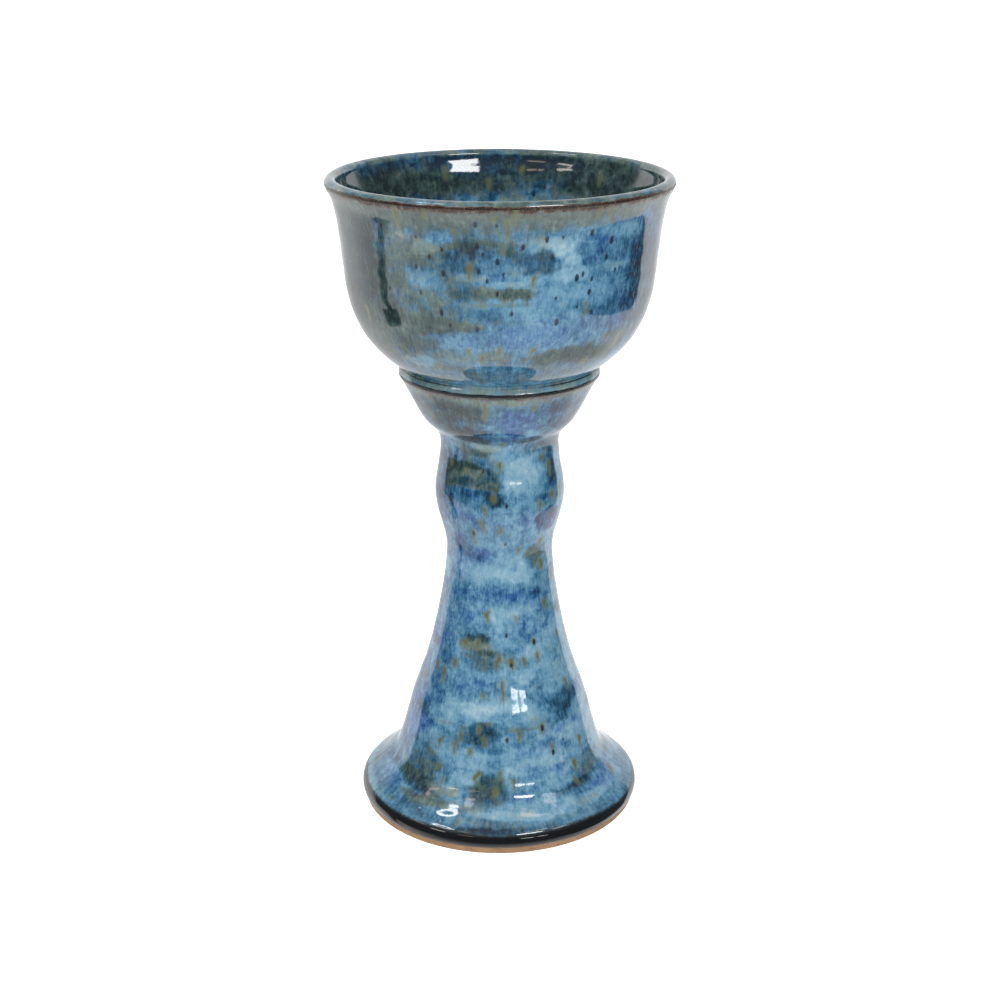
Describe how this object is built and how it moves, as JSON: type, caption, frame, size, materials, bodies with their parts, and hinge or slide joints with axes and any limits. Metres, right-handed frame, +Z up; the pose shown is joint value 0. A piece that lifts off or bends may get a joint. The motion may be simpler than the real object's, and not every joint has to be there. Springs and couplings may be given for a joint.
{
  "type": "communion chalice",
  "caption": "Stoneware chalice: round cup with a flared lip, luted onto a hollow pedestal with a collar, a knop and a flared skirt, glossy mottled blue glaze down to a bare clay foot.",
  "frame": {"origin": "centre of the plane that the foot ring rests on", "axes": "+Z up along the turning axis, towards the cup's mouth; the chalice is round, so X and Y are any two level directions"},
  "size_m": [0.0922, 0.0922, 0.18],
  "materials": {
    "stoneware_clay": "matte, bare fired stoneware with fine speckle",
    "joining_slip": "matte, fired slip",
    "stem_glaze": "gloss, mottled blue that breaks rust brown and pools dark",
    "bowl_glaze": "gloss, mottled blue with brushed bands and dark specks",
    "liner_glaze": "gloss, darker teal blue with rust specks"
  },
  "bodies": {
    "root": {"stem": "stoneware_clay", "bowl": "stoneware_clay", "slip_ring": "joining_slip", "stem_glaze": "stem_glaze", "bowl_glaze": "bowl_glaze", "liner_glaze": "liner_glaze"}
  },
  "joints": []
}
